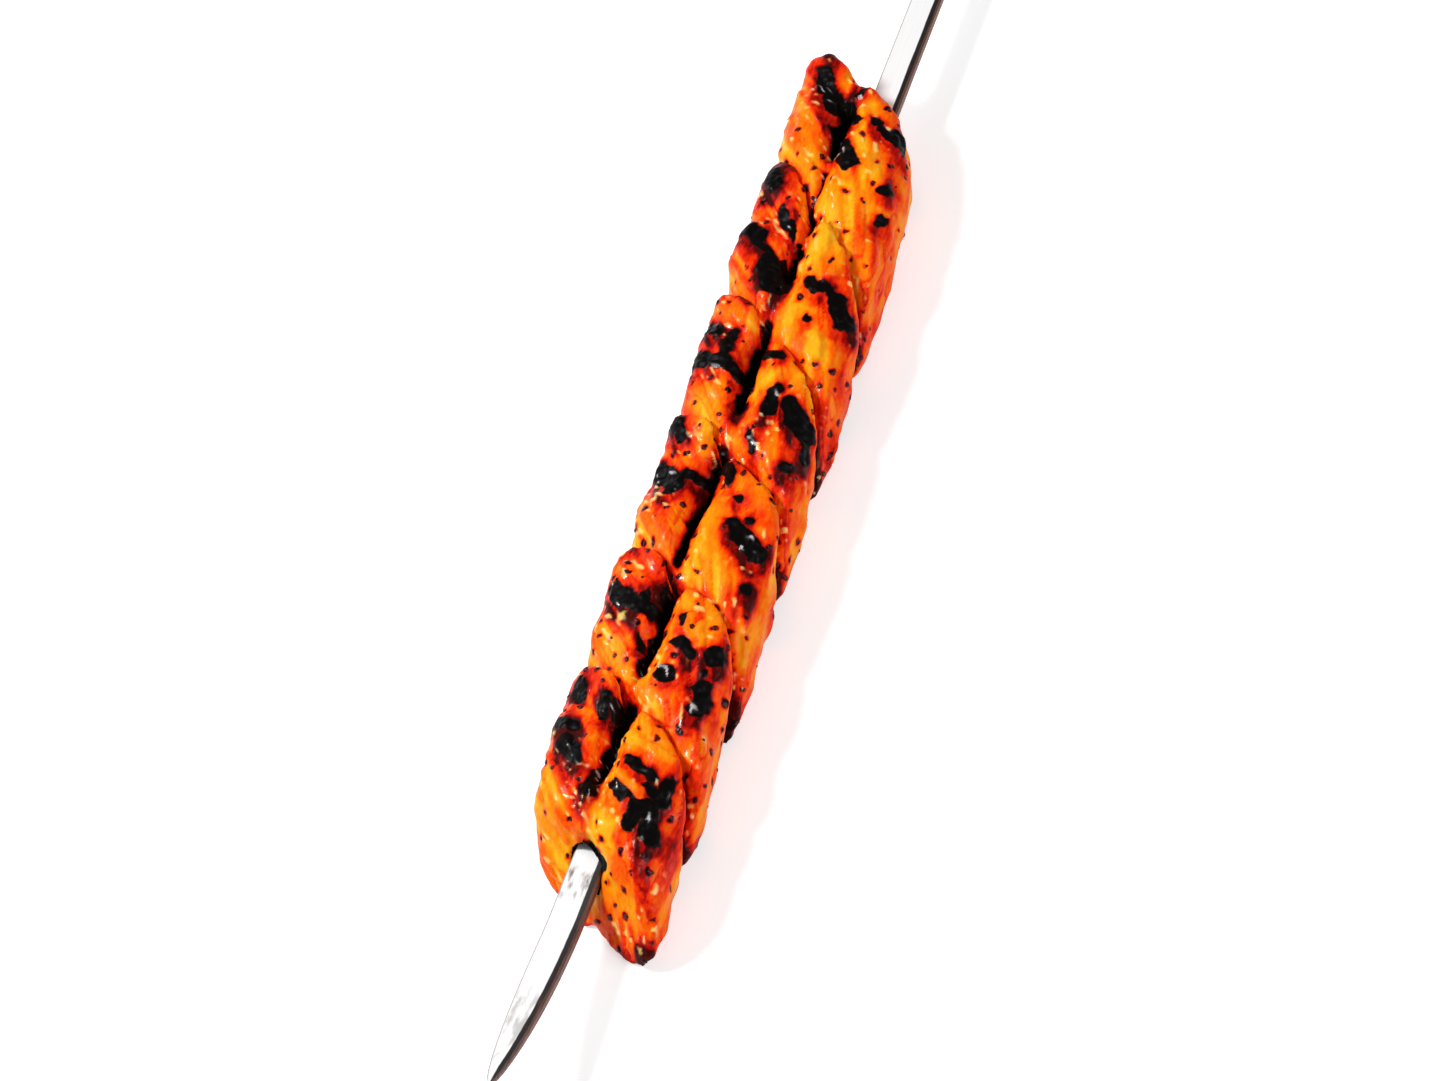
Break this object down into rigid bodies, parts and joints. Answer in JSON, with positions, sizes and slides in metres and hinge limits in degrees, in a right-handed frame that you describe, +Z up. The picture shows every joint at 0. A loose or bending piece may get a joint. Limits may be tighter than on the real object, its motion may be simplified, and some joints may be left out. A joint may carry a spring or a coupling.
{
  "type": "chicken kebab skewer",
  "caption": "Chunks of grilled chicken, pressed together slantwise on a long flat steel skewer with one pointed end.",
  "frame": {"origin": "on the surface that the kebab lies on, under the middle of the skewer's length", "axes": "+Y along the skewer from its point to its plain end, +Z up from the surface, +X to the right"},
  "size_m": [0.054, 0.48, 0.0288],
  "materials": {
    "grilled_chicken": "moist marinated chicken, browned, with charred ridges",
    "heat_darkened_steel": "flat steel, blackened by heat along its edges"
  },
  "bodies": {
    "root": {"chicken_piece_1": "grilled_chicken", "chicken_piece_2": "grilled_chicken", "chicken_piece_3": "grilled_chicken", "chicken_piece_4": "grilled_chicken", "chicken_piece_5": "grilled_chicken", "chicken_piece_6": "grilled_chicken", "skewer_blade": "heat_darkened_steel"}
  },
  "joints": []
}
